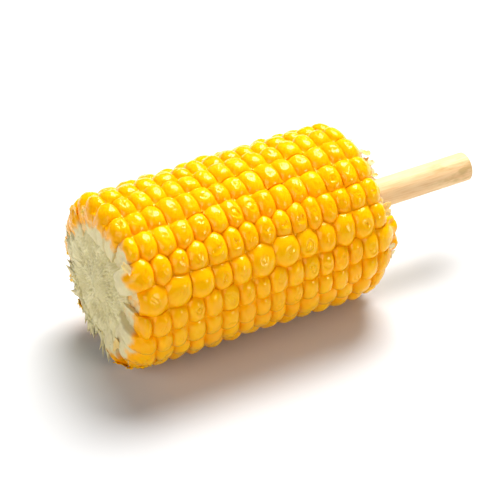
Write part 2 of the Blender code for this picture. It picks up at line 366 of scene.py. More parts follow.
# end is -1 at the snapped face, 1 at the stick, else 0. corners are (x, row).
Kernel = namedtuple("Kernel", "row place end corners lift sunken")


def kernels_by_row():
    """Every kernel of every row, laid out as in the solids."""
    draw = random.Random(LAYOUT_SEED)
    rows = [row_edges(row, draw) for row in range(KERNEL_ROWS)]
    creases = [crease_corners(rows, row) for row in range(KERNEL_ROWS)]
    kernels = []
    for row in range(KERNEL_ROWS):
        kernels.append([])
        last = len(rows[row]) - 2
        for place in range(last + 1):
            own = {(row, place), (row, place + 1)}
            corners = []
            for crease, shift in ((creases[row - 1], -1), (creases[row], 0)):
                ends = [i for i, corner in enumerate(crease) if own & set(corner[2])]
                part = [(x, row + shift + across) for x, across, _ in crease[ends[0] : ends[-1] + 1]]
                corners += part if shift else part[::-1]
            lift = draw.uniform(-UNEVEN_CROWN, UNEVEN_CROWN)
            sunken = draw.random() < DENTED_SHARE
            end = -1 if place == 0 else 1 if place == last else 0
            kernels[row].append(Kernel(row, place, end, corners, lift, sunken))
    return kernels


def cross(first, second):
    """The cross product of vectors in a plane."""
    return first[..., 0] * second[..., 1] - first[..., 1] * second[..., 0]


def cell_outline(corners, middle, half, softness):
    """Spokes from a cell's middle through its corners and between them.

    Gives their angles, how far along them the cell's edge is, and the same for a softer outline.
    """
    points = (np.array(corners) - middle) / half
    angles = np.arctan2(points[:, 1], points[:, 0]) % (2 * math.pi)
    order = np.argsort(angles)
    points, angles = points[order], angles[order]
    places = np.round(angles / (2 * math.pi) * SPOKES)
    for i in range(1, len(places)):
        places[i] = max(places[i], places[i - 1] + 1)
    near_places = np.concatenate((places[-1:] - SPOKES, places, places[:1] + SPOKES))
    near_angles = np.concatenate((angles[-1:] - 2 * math.pi, angles, angles[:1] + 2 * math.pi))
    spokes = np.interp(np.arange(SPOKES), near_places, near_angles)

    def edge_along(ways):
        start = np.searchsorted(angles, ways % (2 * math.pi), side="right") - 1
        side = points[(start + 1) % len(points)] - points[start]
        toward = np.stack((np.cos(ways), np.sin(ways)), axis=1)
        return cross(points[start], side) / cross(toward, side)

    even = np.arange(SPOKES) * 2 * math.pi / SPOKES
    offsets = (np.arange(SPOKES) + SPOKES // 2) % SPOKES - SPOKES // 2
    weights = np.exp(-0.5 * (offsets / softness) ** 2)
    weights /= weights.sum()
    soft = np.real(np.fft.ifft(np.fft.fft(edge_along(even)) * np.fft.fft(weights)))
    return spokes, edge_along(spokes), np.interp(spokes, even, soft, period=2 * math.pi)


def wrinkles(along, across, sunken, draw):
    """How far a shrunken kernel's skin has sunk, at places given in metres from its middle."""
    x = along - draw.uniform(-0.3, 0.3) * MM
    y = across - draw.uniform(-0.7, 0.7) * MM
    turn = draw.uniform(-0.7, 0.7)
    over = x * math.cos(turn) + y * math.sin(turn)
    beside = y * math.cos(turn) - x * math.sin(turn)
    reach = np.hypot(x * draw.uniform(1.15, 1.6), y)
    around = np.arctan2(y, x)
    uneven = 0.16 * np.cos(2 * around + draw.uniform(0, 6))
    uneven += 0.11 * np.cos(3 * around + draw.uniform(0, 6))
    reach = reach * (1 + uneven)
    size = draw.uniform(*HOLLOW_SIZES_MM) * MM
    depth = draw.uniform(*(SUNKEN_DEPTHS_MM if sunken else WRINKLE_DEPTHS_MM)) * MM
    rim = draw.uniform(*HOLLOW_RIMS_MM) * MM
    bowl = 0.5 - 0.5 * np.tanh((reach - size) / rim)
    folds = ripple(in_plane(x, y), draw.uniform(*FOLD_WIDTHS_MM) * MM, draw.randrange(SEEDS))
    kind = draw.choice(WRINKLE_KINDS)
    if kind == "ring":  # a bowl whose lip and middle stand up
        lip = 0.06 * MM * groove(reach - size, 0.18 * MM)
        return depth * bowl - lip - 0.3 * depth * groove(reach, 0.5 * MM) + 0.07 * MM * folds * bowl
    if kind == "mound":  # a broad mound that all but fills its bowl
        return depth * bowl - 0.9 * depth * (0.5 - 0.5 * np.tanh((reach - 0.55 * size) / (0.8 * rim)))
    if kind == "bars":  # two short furrows side by side
        gap = draw.uniform(0.35, 0.6) * MM
        length = groove(beside, 1.4 * MM)
        bars = groove(over - gap, 0.2 * MM) + groove(over + gap, 0.2 * MM)
        return 0.4 * depth * bowl + 0.1 * MM * bars * length
    if kind == "crescent":  # a bowl sunken on one side only
        side = 0.5 + 0.5 * np.tanh(beside / (0.4 * MM))
        return depth * bowl * side + 0.05 * MM * folds * bowl
    if kind == "pinch":  # a dimple with creases that spread from it
        spread = np.cos(draw.randint(3, 6) * around + draw.uniform(0, 6))
        return depth * groove(reach, 0.9 * MM) * (1.3 + 0.5 * spread) + 0.3 * depth * bowl
    # a crumple: a shallow bowl full of small folds
    return 0.5 * depth * bowl + 0.06 * MM * folds * groove(reach, 1.9 * MM)


def kernel_sides(end, middle, brim, facing, swell, side_rings):
    """Vertices down a kernel's sides, from its crown's brim (x, row, radius) to its foot.

    A side that faces a bare end of the ear swells out on the way down and is rough.
    """
    brim_x, brim_across, brim_radius = brim
    foot_radius = ROOT_RADIUS if end == -1 else FOOT_RADIUS
    sides = []
    for ring in range(1, side_rings + 1):
        depth = ring / side_rings
        belly = math.sin(math.pi * depth**0.7) * facing
        x = middle[0] + (brim_x - middle[0]) * (1 - (1 - FOOT_SHARE) * depth * facing)
        x = x + end * SIDE_SWELL * swell * belly - end * FOOT_RECESS * depth**6 * facing
        across = middle[1] + (brim_across - middle[1]) * (1 + SIDE_WIDENING * belly)
        radius = brim_radius + (foot_radius - brim_radius) * depth
        side = around_ear(x, row_angle(x, across), radius)
        if end:
            rough = 0.25 * ripple(side * (1.0, 1.6, 1.6), 3.0 * MM, 7) + 0.08 * ripple(side, 1.1 * MM, 8)
            side[:, 0] += rough * MM * facing * smooth_step(3 * depth)
        sides.append(side)
    foot = around_ear(middle[0], row_angle(middle[0], middle[1]), foot_radius)[None]
    return np.concatenate([*sides, foot])


def kernel_points(kernel, crown_rings, side_rings):
    """One kernel's vertices, crown first and foot last, and its values for the material."""
    draw = random.Random(f"kernel {kernel.row} {kernel.place}")
    corners = np.array(kernel.corners)
    low, high = corners.min(axis=0), corners.max(axis=0)
    middle, half = (low + high) / 2, (high - low) / 2
    spokes, edge, soft_edge = cell_outline(corners, middle, half, draw.uniform(*OUTLINE_SOFTNESS))
    fullness = draw.uniform(*FULLNESS)
    facing = np.maximum(0.0, np.cos(spokes) * kernel.end) ** 0.7  # 1 towards a bare end of the ear

    # share is 0 at the crown's middle and 1 in its crease, u and v are places along and across it
    rings = np.sin(np.arange(1, crown_rings + 1) / crown_rings * math.pi / 2)
    share = np.concatenate(([0.0], np.repeat(rings, SPOKES)))
    spoke = np.concatenate(([0.0], np.tile(spokes, crown_rings)))
    outline = np.concatenate(([1.0], np.tile(edge * (1 - CREASE_GAP), crown_rings)))
    u = share * outline * np.cos(spoke)
    v = share * outline * np.sin(spoke)
    fall = edge / soft_edge / (CROWN_SPREAD + (1 - CROWN_SPREAD) * facing)
    deepest = DEEPEST_CREASE + (1 - DEEPEST_CREASE) * facing
    slope = np.concatenate(([0.0], np.minimum(np.outer(rings, fall), deepest).ravel()))
    rim = FAR_RIMS.get(kernel.row, FAR_RIM) if kernel.end == 1 else RIMS.get(kernel.row, PLAIN_RIM)
    swell = rim.swell * MM * draw.uniform(0.7, 1.3)
    bulge = np.concatenate(([0.0], np.outer(rings**2, facing).ravel())) * CROWN_SWELL * swell * kernel.end
    x = middle[0] + half[0] * u + bulge
    across_row = middle[1] + half[1] * v
    along, across = half[0] * u, MEAN_RADIUS * ROW_STEP * half[1] * v
    drop = CREASE_DEPTH * (1 - (1 - slope**fullness) ** (1 / fullness))
    tilt = along * draw.gauss(0, CROWN_TILT) + across * draw.gauss(0, CROWN_TILT)
    flat = in_plane(along, across)
    lumps = LUMP_HEIGHT * ripple(flat, LUMP_WIDTH, draw.randrange(SEEDS))
    radius = crown_radius(x) + kernel.lift - drop + (tilt + lumps) * (1 - share**2)

    seen = "top" if kernel.row in TOP_ROWS else "front" if kernel.row in FRONT_ROWS else "hidden"
    wrinkled = draw.random() < WRINKLED_SHARES[seen] or kernel.sunken
    wrinkle = np.zeros_like(share)
    if wrinkled:
        radius = radius - wrinkles(along, across, kernel.sunken, draw) * (1 - share**6)
        wrinkle = 1 - share**2
    if kernel.end == -1 and rim.torn:
        shreds = 0.25 * MM * ripple(flat, 1.3 * MM, draw.randrange(SEEDS))
        radius = radius - (rim.torn * MM * (0.72 - 0.4 * u) + shreds) * (1 - 0.5 * share**4)
    crown = around_ear(x, row_angle(x, across_row), radius)

    brim = x[-SPOKES:], across_row[-SPOKES:], radius[-SPOKES:]
    sides = kernel_sides(kernel.end, middle, brim, facing, swell, side_rings)
    points = np.concatenate((crown, sides))
    values = {
        # crease also sets the painted shade in the material: deeper orange towards the creases and all
        # down the sides
        "crease": np.concatenate((np.minimum(slope * CROWN_SPREAD, 1), np.ones(len(sides)))),
        "wrinkle": np.concatenate((wrinkle, np.zeros(len(sides)))),
        "pale": bare_share(points, kernel.end, rim),
        "tone": np.full(len(points), draw.uniform(-1, 1)),
    }
    return points, values


def bare_share(points, end, rim):
    """How pale and bare a kernel is at its points: 0 is yellow skin, 1 the pale side under it."""
    if not end:
        return np.zeros(len(points))
    radii = np.hypot(points[:, 1], points[:, 2])
    from_end = (STICK_END - points[:, 0] * end) + 0.5 * MM * ripple(points, 2.6 * MM, 5)
    radii = radii + 1.0 * MM * ripple(points, 3.0 * MM, 6)
    along = smooth_step((rim.pale_length * MM - from_end) / PALE_BLEND + 0.5)
    return along * smooth_step((rim.pale_radius * MM - radii) / PALE_BLEND + 0.5)


def tube_faces(spokes, ring_count):
    """Faces of a closed body: a point, rings of spokes vertices, and a last point."""
    sides = [(spoke, (spoke + 1) % spokes) for spoke in range(spokes)]
    faces = [(0, 1 + a, 1 + b) for a, b in sides]
    for ring in range(ring_count - 1):
        near, far = 1 + ring * spokes, 1 + (ring + 1) * spokes
        faces += [(near + a, far + a, far + b, near + b) for a, b in sides]
    last, end = 1 + (ring_count - 1) * spokes, 1 + ring_count * spokes
    faces += [(last + b, last + a, end) for a, b in sides]
    return faces


class Shape:
    """Vertices, faces and values per vertex of closed bodies that are gathered into one piece."""

    def __init__(self):
        self.points, self.faces, self.values = [], [], {}
        self.count = 0

    def add(self, points, faces, values):
        self.faces += [tuple(index + self.count for index in face) for face in faces]
        self.points.append(points)
        self.count += len(points)
        for label, numbers in values.items():
            self.values.setdefault(label, []).append(np.broadcast_to(numbers, len(points)))

    def piece(self, name, material, slot, node=None):
        """The mesh piece: it rides on the part and stands in for the node, where one is given."""
        points = np.concatenate(self.points)
        points[:, 2] = np.maximum(points[:, 2], FLOOR_GAP - EAR_MIDDLE.z)
        mesh = bpy.data.meshes.new(name)
        mesh.from_pydata(points.tolist(), [], self.faces)
        for label, numbers in self.values.items():
            attribute = mesh.attributes.new(label, "FLOAT", "POINT")
            attribute.data.foreach_set("value", np.concatenate(numbers).astype(np.float32))
        bm = bmesh.new()
        bm.from_mesh(mesh)
        bmesh.ops.recalc_face_normals(bm, faces=bm.faces)
        bm.to_mesh(mesh)
        bm.free()
        mesh.shade_smooth()
        mesh.materials.append(material)
        piece = bpy.data.objects.new(name, mesh)
        piece.location = EAR_MIDDLE
        bpy.context.scene.collection.objects.link(piece)
        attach(piece, "root")
        if node:
            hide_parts(node)


def build_kernels(material):
    """The kernels, each a closed body of its own, in pieces of a few rows."""
    rows = kernels_by_row()
    for name, first_row, row_count, crown_rings in PIECES:
        shape = Shape()
        for row in range(first_row, first_row + row_count):
            for kernel in rows[row % KERNEL_ROWS]:
                side_rings = BARE_SIDE_RINGS if kernel.end else SIDE_RINGS
                points, values = kernel_points(kernel, crown_rings, side_rings)
                shape.add(points, tube_faces(SPOKES, crown_rings + side_rings), values)
        shape.piece(name, material, "cooked_kernel", "kernels")


def apron(angle):
    """How far the torn fibres spread over the kernels' sides: 0 on the camera's side, 1 opposite."""
    return smooth_step(0.5 + 0.5 * np.cos(angle - APRON_MIDDLE))


def face_edge(angle):
    """The ragged outline of the snapped face."""
    around = in_plane(np.cos(angle), np.sin(angle)) * MEAN_RADIUS
    ragged = 0.9 * MM * ripple(around, 9.0 * MM, 21) + 0.4 * MM * ripple(around, 3.0 * MM, 22)
    return FACE_EDGE + TORN_APRON * apron(angle) + ragged * (1 + 0.6 * apron(angle))


def streaks(angle, radius, width, length, seed):
    """Noise drawn out along the radii: width across them at the cob's edge, length along them."""
    stretched = np.stack(
        (np.cos(angle) * COB_RADIUS, np.sin(angle) * COB_RADIUS, radius * width / length), axis=-1
    )
    return ripple(stretched, width, seed, waves=12)


def face_relief(angle, radius):
    """How far the snapped face stands out, at angles and radii: granular pith, then torn fibres."""
    points = around_ear(0.0, angle, radius)
    pith = groove(radius, PITH_RADIUS)
    woody = smooth_step((radius - 0.6 * PITH_RADIUS) / PITH_RADIUS)
    edge = smooth_step((radius - 8 * MM) / (7 * MM))
    grains = 0.22 * MM * np.abs(ripple(points, 0.62 * MM, 31, waves=14)) * (0.35 + 0.65 * pith)
    spongy = 0.18 * MM * ripple(points, 1.2 * MM, 32, waves=12) * woody * (1 - 0.6 * edge)
    folds = 0.22 * MM * streaks(angle, radius, 7.0 * MM, 15 * MM, 33) * woody
    folds += 0.3 * MM * ripple(points, 7.0 * MM, 36) * woody
    strands = 0.05 * MM * streaks(angle, radius, 1.5 * MM, 6 * MM, 34) * woody
    threads = 0.035 * MM * streaks(angle, radius, 0.6 * MM, 3 * MM, 35) * woody
    return grains + spongy + folds + strands + threads


def face_height(angle, radius):
    """How far the snapped face stands out beyond the ends of the rows."""
    covering = apron(angle)
    dome = PITH_HEIGHT * (0.5 * groove(radius, 4.0 * MM) + 0.5 * groove(radius, 9.0 * MM))
    shelf = 0.3 * MM + 0.9 * MM * covering * smooth_step((radius - 6 * MM) / (6 * MM))
    share = radius / face_edge(angle)
    tucked = (1.6 - 0.9 * covering) * MM * smooth_step((share - 0.8) / 0.2)
    return dome * (1 - 0.5 * covering * share) + shelf - tucked + face_relief(angle, radius)


def build_cob(material):
    """The woody cob: snapped face, sides inside the kernels, far face and the bore for the stick."""
    angle = np.arange(FACE_SPOKES) * 2 * math.pi / FACE_SPOKES
    edge = face_edge(angle)
    rings, reliefs = [], []
    for ring in range(1, FACE_RINGS + 1):
        radius = edge * (ring / FACE_RINGS)
        rings.append(around_ear(SNAPPED_END - face_height(angle, radius), angle, radius))
        reliefs.append(face_relief(angle, radius) / MM)
    back = SNAPPED_END + FACE_LIP
    lip = edge - LIP_INSET
    inside = np.minimum(lip, COB_RADIUS)
    for x, radius in ((back, lip), (back + LIP_TAPER, inside), (0.0, COB_RADIUS)):
        rings.append(around_ear(x, angle, radius))
    far = STICK_END - FOOT_RECESS
    stick_axis = np.array((0.0, 0.0, STICK_ABOVE_AXIS))
    bore = STICK_RADIUS + BORE_CLEARANCE
    for ring in range(FAR_FACE_RINGS + 1):
        share = ring / FAR_FACE_RINGS
        radius = COB_RADIUS + (bore - COB_RADIUS) * share
        rough = 0.5 * face_relief(angle, np.full_like(angle, radius)) * (1 - share**8)
        rings.append(around_ear(far + rough * (ring > 0), angle, radius) + stick_axis * share)
    bore_start = STICK_END - STICK_DEPTH
    for ring in range(1, BORE_RINGS + 1):
        x = far + (bore_start - far) * ring / BORE_RINGS
        rings.append(around_ear(x, angle, bore) + stick_axis)
    tip = around_ear(SNAPPED_END - PITH_HEIGHT - PITH_TIP, 0.0, 0.0)[None]
    end = around_ear(bore_start, 0.0, 0.0)[None] + stick_axis
    points = np.concatenate([tip, *rings, end])
    # The depth of the face's relief, which the material turns partly into painted shade
    hollow = np.zeros(len(points))
    hollow[1 : 1 + FACE_RINGS * FACE_SPOKES] = -np.concatenate(reliefs)
    shape = Shape()
    shape.add(points, tube_faces(FACE_SPOKES, len(rings)), {"hollow": hollow, "tone": 0.0})
    shape.piece("snapped_cob", material, "woody_cob", "cob")


def sliver(base, way, up, length, width, curl, draw):
    """A tapered strand: points and faces. It starts at base, runs along way and curls towards up."""
    side = unit(np.cross(way, up))
    bend = draw.uniform(-0.35, 0.35)
    rings = []
    for section in range(STRAND_SECTIONS):
        share = section / (STRAND_SECTIONS - 1)
        middle = base + way * length * share
        middle = middle + up * curl * share**2 + side * bend * length * share**2
        thick = width * (1 - share) ** 0.7 + STRAND_TIP
        corners = ((1, 0), (0, 0.45), (-1, 0), (0, -0.45))
        rings.append(np.array([middle + side * thick * a / 2 + up * thick * b / 2 for a, b in corners]))
    tip = base + way * length * 1.04 + up * curl * 1.08 + side * bend * length * 1.08
    points = np.concatenate([(base - way * STRAND_ROOT)[None], *rings, tip[None]])
    return points, tube_faces(len(corners), STRAND_SECTIONS)


def strand_start(strands, draw):
    """Where a strand comes out of the cob: its angle round the face and distance from the axis."""
    if strands is TUFTS:
        return draw.gauss(*TUFT_GATHERING), draw.uniform(*TUFT_STARTS_MM) * MM
    if strands is APRON_STRANDS:
        angle = APRON_MIDDLE + draw.gauss(0, APRON_SPREAD)
        return angle, face_edge(angle) * draw.uniform(*APRON_STARTS)
    return draw.uniform(0, 2 * math.pi), draw.uniform(*FACE_STARTS_MM) * MM


def strand(strands, draw):
    """A strand that lies on the snapped face and points outwards: points and faces."""
    angle, start = strand_start(strands, draw)
    length, width = draw.uniform(*strands.length) * MM, draw.uniform(*strands.width) * MM
    curl = draw.uniform(*strands.curl) * MM
    length = min(length, crown_radius(SNAPPED_END) - STRAND_MARGIN - start)
    height = face_height(angle, start)
    slope = (face_height(angle, start + length / 2) - height) / (length / 2)
    outward, round_ear = ways_at(angle)
    turn = draw.gauss(0, strands.turn)
    way = unit(outward * math.cos(turn) + round_ear * math.sin(turn) + slope * OUT_OF_FACE)
    base = around_ear(SNAPPED_END - height, angle, start)
    return sliver(base, way, OUT_OF_FACE, length, width, curl, draw)


def build_fibres(material):
    """Strands that the snap pulled out of the cob: over its face, and over the kernels beside it."""
    draw = random.Random(STRAND_SEED)
    shape = Shape()
    for strands in (FACE_STRANDS, APRON_STRANDS, TUFTS):
        for _ in range(strands.count):
            points, faces = strand(strands, draw)
            # Each strand takes a small share of the cob's painted hollow shade, drawn at random
            shape.add(points, faces, {"hollow": draw.uniform(-0.6, -0.1), "tone": draw.uniform(-1, 1)})
    shape.piece("torn_fibres", material, "woody_cob")


def scrap(middle, way, side, size, curl, seed, steps):
    """A torn scrap of skin: points and faces of a thin closed leaf with a ragged outline.

    It lies across way and side, size is its length and width, and it curls off its middle.
    """
    way, side = unit(way), unit(side)
    up = unit(np.cross(way, side))
    spokes = 4 * steps
    angle = np.arange(spokes) * 2 * math.pi / spokes
    ring_shape = in_plane(np.cos(angle), np.sin(angle))
    ragged = 1 + 0.22 * ripple(ring_shape, 1.1, seed) + 0.1 * ripple(ring_shape, 0.4, seed + 1)

    def leaf(share, lift):
        flat = ring_shape * (ragged * share)[:, None]
        a, b = flat[:, 0] * size[0] / 2, flat[:, 1] * size[1] / 2
        height = curl * (flat[:, 0] ** 2 + 0.4 * flat[:, 1] ** 2) + lift
        height = height + 0.18 * MM * ripple(in_plane(a, b), 1.8 * MM, seed)
        return middle + a[:, None] * way + b[:, None] * side + height[:, None] * up

    shares = [i / steps for i in range(1, steps + 1)]
    top = [leaf(share, SCRAP_THICKNESS / 2) for share in shares]
    bottom = [leaf(share, -SCRAP_THICKNESS / 2) for share in reversed(shares)]
    first = (middle + up * SCRAP_THICKNESS / 2)[None]
    last = (middle - up * SCRAP_THICKNESS / 2)[None]
    return np.concatenate([first, *top, *bottom, last]), tube_faces(spokes, 2 * steps)


# Scraps at the snapped face: the angle round the ear in degrees, the radius and the place before the
# ends of the rows in mm, the length and width in mm, the turn of the length in degrees, how far it
# curls in mm, how pale it is, and its lean in degrees: 0 lies across the face, 90 on the crowns
Scrap = namedtuple("Scrap", "angle radius ahead length width turn curl pale lean")
SCRAPS = (
    Scrap(46, 23.2, 0.6, 4.2, 1.5, 80, 0.6, 0.75, 45),
    Scrap(128, 16.5, 2.6, 4.8, 2.4, 65, 0.6, 0.6, 10),
    Scrap(222, 20.2, 0.9, 4.6, 3.4, 20, 0.3, 0.05, 20),
    Scrap(158, 23.3, -0.5, 5.0, 3.6, -10, 0.4, 0.0, 55),
    Scrap(150, 24.2, -2.4, 4.6, 3.2, 40, 0.4, 0.1, 80),
    Scrap(140, 24.4, -4.4, 4.2, 3.0, 30, 0.5, 0.0, 80),
    Scrap(133, 24.6, -7.0, 2.8, 1.8, 20, 0.4, 0.3, 85),
    Scrap(244, 21.4, 0.5, 4.2, 3.0, 10, 0.3, 0.15, 5),
    Scrap(270, 21.4, 0.4, 5.2, 3.0, 80, 0.3, 0.05, 5),
    Scrap(312, 21.8, 0.4, 6.4, 3.4, 80, 0.3, 0.0, 5),
    Scrap(336, 21.4, 0.5, 4.6, 2.8, 70, 0.4, 0.15, 5),
)


def build_scraps(material):
    """Scraps of skin that hang on at the snapped face."""
    shape = Shape()
    for index, item in enumerate(SCRAPS):
        angle, turn, lean = math.radians(item.angle), math.radians(item.turn), math.radians(item.lean)
        middle = around_ear(SNAPPED_END - item.ahead * MM, angle, item.radius * MM)
        outward, round_ear = ways_at(angle)
        along = outward * math.cos(lean) - OUT_OF_FACE * math.sin(lean)
        facing = OUT_OF_FACE * math.cos(lean) + outward * math.sin(lean)
        way = along * math.cos(turn) + round_ear * math.sin(turn)
        side = np.cross(facing, way)
        size = (item.length * MM, item.width * MM)
        curl = item.curl * MM
        points, faces = scrap(middle, way, side, size, curl, SCRAP_SEED + index, SCRAP_STEPS)
        shape.add(points, faces, {"crease": 0.5, "wrinkle": 1.0, "pale": item.pale, "tone": -1.0})
    shape.piece("torn_skins", material, "cooked_kernel")


def build_chaff(material):
    """Soft torn chaff where the rows end at the stick."""
    draw = random.Random(CHAFF_SEED)
    shape = Shape()
    for index in range(CHAFF_FLAKES):
        gathered = index % 2
        angle = draw.gauss(*CHAFF_GATHERING) if gathered else draw.uniform(0, 2 * math.pi)
        radius = draw.uniform(*CHAFF_RADII_MM) * MM
        middle = around_ear(STICK_END + draw.uniform(0.2, 1.4) * MM, angle, radius)
        outward, round_ear = ways_at(angle)
        way = outward * draw.uniform(-0.5, 0.3) + round_ear * draw.gauss(0, 0.4) - OUT_OF_FACE
        side = np.cross(outward, way)
        size = (draw.uniform(1.6, 3.0) * MM, draw.uniform(1.0, 2.0) * MM)
        curl = draw.uniform(-0.5, 0.5) * MM
        points, faces = scrap(middle, way, side, size, curl, CHAFF_SHAPE_SEED + index, CHAFF_STEPS)
        pale = draw.uniform(0.5, 0.95)
        shape.add(points, faces, {"crease": 0.0, "wrinkle": 1.0, "pale": pale, "tone": 1.0})
    shape.piece("frayed_chaff", material, "cooked_kernel")


def build_stick(material):
    """The stick: turned, a little uneven along its grain, its shown end worn round."""
    angle = np.arange(STICK_SPOKES) * 2 * math.pi / STICK_SPOKES
    start, end = STICK_END - STICK_DEPTH + CLEARANCE, STICK_END + STICK_SHOWN
    axis = np.array((0.0, 0.0, STICK_ABOVE_AXIS))
    rings = []
    for x in np.linspace(start, end - STICK_EDGE_WEAR, STICK_SECTIONS):
        points = in_plane(np.cos(angle), np.sin(angle)) * STICK_RADIUS
        points[:, 2] = x / STICK_GRAIN_LENGTH
        grain = 0.025 * MM * ripple(points, 1.6 * MM, 81) + 0.012 * MM * ripple(points, 0.6 * MM, 82)
        rings.append(around_ear(x, angle, STICK_RADIUS - STICK_PARING + grain) + axis)
    for ring in range(1, STICK_END_RINGS):
        share = ring / STICK_END_RINGS
        on_end = share > STICK_EDGE_SHARE
        bend = min(1.0, share / STICK_EDGE_SHARE) * math.pi / 2
        x = end - STICK_EDGE_WEAR * (1 - math.sin(bend))
        radius = STICK_RADIUS - STICK_EDGE_WEAR * (1 - math.cos(bend))
        if on_end:
            radius *= (1 - share) / (1 - STICK_EDGE_SHARE)
        rough = 0.05 * MM * ripple(around_ear(0.0, angle, radius), 0.8 * MM, 83) * on_end
        rings.append(around_ear(x + rough, angle, radius) + axis)
    first = around_ear(start, 0.0, 0.0)[None] + axis
    last = around_ear(end, 0.0, 0.0)[None] + axis
    points = np.concatenate([first, *rings, last])
    shape = Shape()
    shape.add(points, tube_faces(STICK_SPOKES, len(rings)), {})
    shape.piece("turned_stick", material, "bare_wood", "stick")


def set_sockets(node, inputs):
    """Sets a node's inputs, in order or by name or number, to values, hex colours or outputs."""
    tree = node.id_data
    for socket, value in inputs.items() if isinstance(inputs, dict) else enumerate(inputs):
        if isinstance(value, bpy.types.NodeSocket):
            tree.links.new(value, node.inputs[socket])
        else:
            node.inputs[socket].default_value = linear(value) if isinstance(value, str) else value


def add_node(tree, kind, inputs=(), output=0, **settings):
    """Adds a shader node with its settings and links, and gives one of its outputs."""
    node = tree.nodes.new("ShaderNode" + kind)
    for name, value in settings.items():
        setattr(node, name, value)
    set_sockets(node, inputs)
    return node.outputs[output]


# Settings that many nodes share. A MapRange node's inputs are a value, the range that it has and the
# range that it is brought to. A Mix node's are the second colour's share and, by number, the colours.
SOFTLY = {"interpolation_type": "SMOOTHSTEP"}
COLORS = {"data_type": "RGBA", "output": 2}
FIRST, SECOND = 6, 7


def new_material(name):
    """An empty material, its tree and its shader."""
    material = bpy.data.materials.new(name)
    material.use_nodes = True
    tree = material.node_tree
    return material, tree, tree.nodes["Principled BSDF"]


def boiled_sweetcorn_skin():
    """Skin of boiled sweetcorn: thin, taut and wet over a juicy kernel.

    It gives small sharp highlights on a yellow that glows from inside, painted shade that turns the
    creases and the kernels' sides a deeper orange, and a pale matt bare side where the snap or the
    next kernel kept the skin from yellowing.
    """
    material, tree, shader = new_material("boiled_sweetcorn_skin")
    place = add_node(tree, "TexCoord", output="Object")
    crease, wrinkle, tone, pale = (
        add_node(tree, "Attribute", output="Fac", attribute_name=label)
        for label in ("crease", "wrinkle", "tone", "pale")
    )

    clouds = add_node(tree, "TexNoise", {"Vector": place, "Scale": 1 / CLOUD_SIZE, "Detail": 4.0})
    cloudy = add_node(tree, "MapRange", (clouds, 0.45, 0.75, 0.0, 0.35), **SOFTLY)
    toned = add_node(tree, "MapRange", (tone, -1.0, 1.0, 0.0, 1.0), **SOFTLY)
    yellow = add_node(tree, "Mix", {0: toned, FIRST: "#FFBB05", SECOND: "#FFB203"}, **COLORS)
    clouded = add_node(tree, "Mix", {0: cloudy, FIRST: yellow, SECOND: "#FFC612"}, **COLORS)
    # Painted shade: towards the creases and down the kernels' sides the yellow turns a deeper orange
    painted_crease_shade = add_node(tree, "MapRange", (crease, 0.75, 1.0, 0.0, 0.75), **SOFTLY)
    skin = add_node(tree, "Mix", {0: painted_crease_shade, FIRST: clouded, SECOND: "#FFAB02"}, **COLORS)
    fibre = add_node(tree, "TexNoise", {"Vector": place, "Scale": 1 / FLANK_FIBRE, "Detail": 3.0})
    flank = add_node(tree, "Mix", {0: fibre, FIRST: "#D8CA98", SECOND: "#EADDB2"}, **COLORS)
    color = add_node(tree, "Mix", {0: pale, FIRST: skin, SECOND: flank}, **COLORS)

    folds = add_node(tree, "TexNoise", {"Vector": place, "Scale": 1 / LOOSE_SKIN_FOLD, "Detail": 4.0})
    slack = add_node(tree, "MapRange", (wrinkle, 0.0, 1.0, 0.05, 0.4), **SOFTLY)
    loose = add_node(tree, "Math", (pale, slack), operation="MAXIMUM")
    bumps = add_node(tree, "Math", (folds, loose), operation="MULTIPLY")
    bump = add_node(tree, "Bump", {"Height": bumps, "Strength": 0.6, "Distance": 0.12 * MM})

    rough = add_node(tree, "MapRange", (pale, 0.0, 1.0, 0.14, 0.62), **SOFTLY)
    in_crease = add_node(tree, "MapRange", (crease, 0.88, 1.0, 0.0, 1.0), **SOFTLY)
    dull = add_node(tree, "Math", (pale, in_crease), operation="MAXIMUM")
    wet = add_node(tree, "MapRange", (dull, 0.0, 1.0, 0.35, 0.0), **SOFTLY)
    glow_by_pale = add_node(tree, "MapRange", (pale, 0.0, 1.0, 0.8, 0.3), **SOFTLY)
    glow_by_crease = add_node(tree, "MapRange", (crease, 0.82, 1.0, 0.8, 0.1), **SOFTLY)
    glow = add_node(tree, "Math", (glow_by_pale, glow_by_crease), operation="MINIMUM")
    skin_sockets = {
        "Base Color": color,
        "Normal": bump,
        "Roughness": rough,
        "IOR": 1.38,
        "Specular IOR Level": 0.35,
        "Specular Tint": "#FAFF96",
        "Coat Weight": wet,
        "Coat Roughness": 0.05,
        "Coat IOR": 1.38,
        "Coat Tint": "#FFF6C8",
        "Subsurface Weight": glow,
        "Subsurface Radius": (1.0, 0.7, 0.12),
        "Subsurface Scale": 0.45 * MM,
    }
    set_sockets(shader, skin_sockets)
    return material


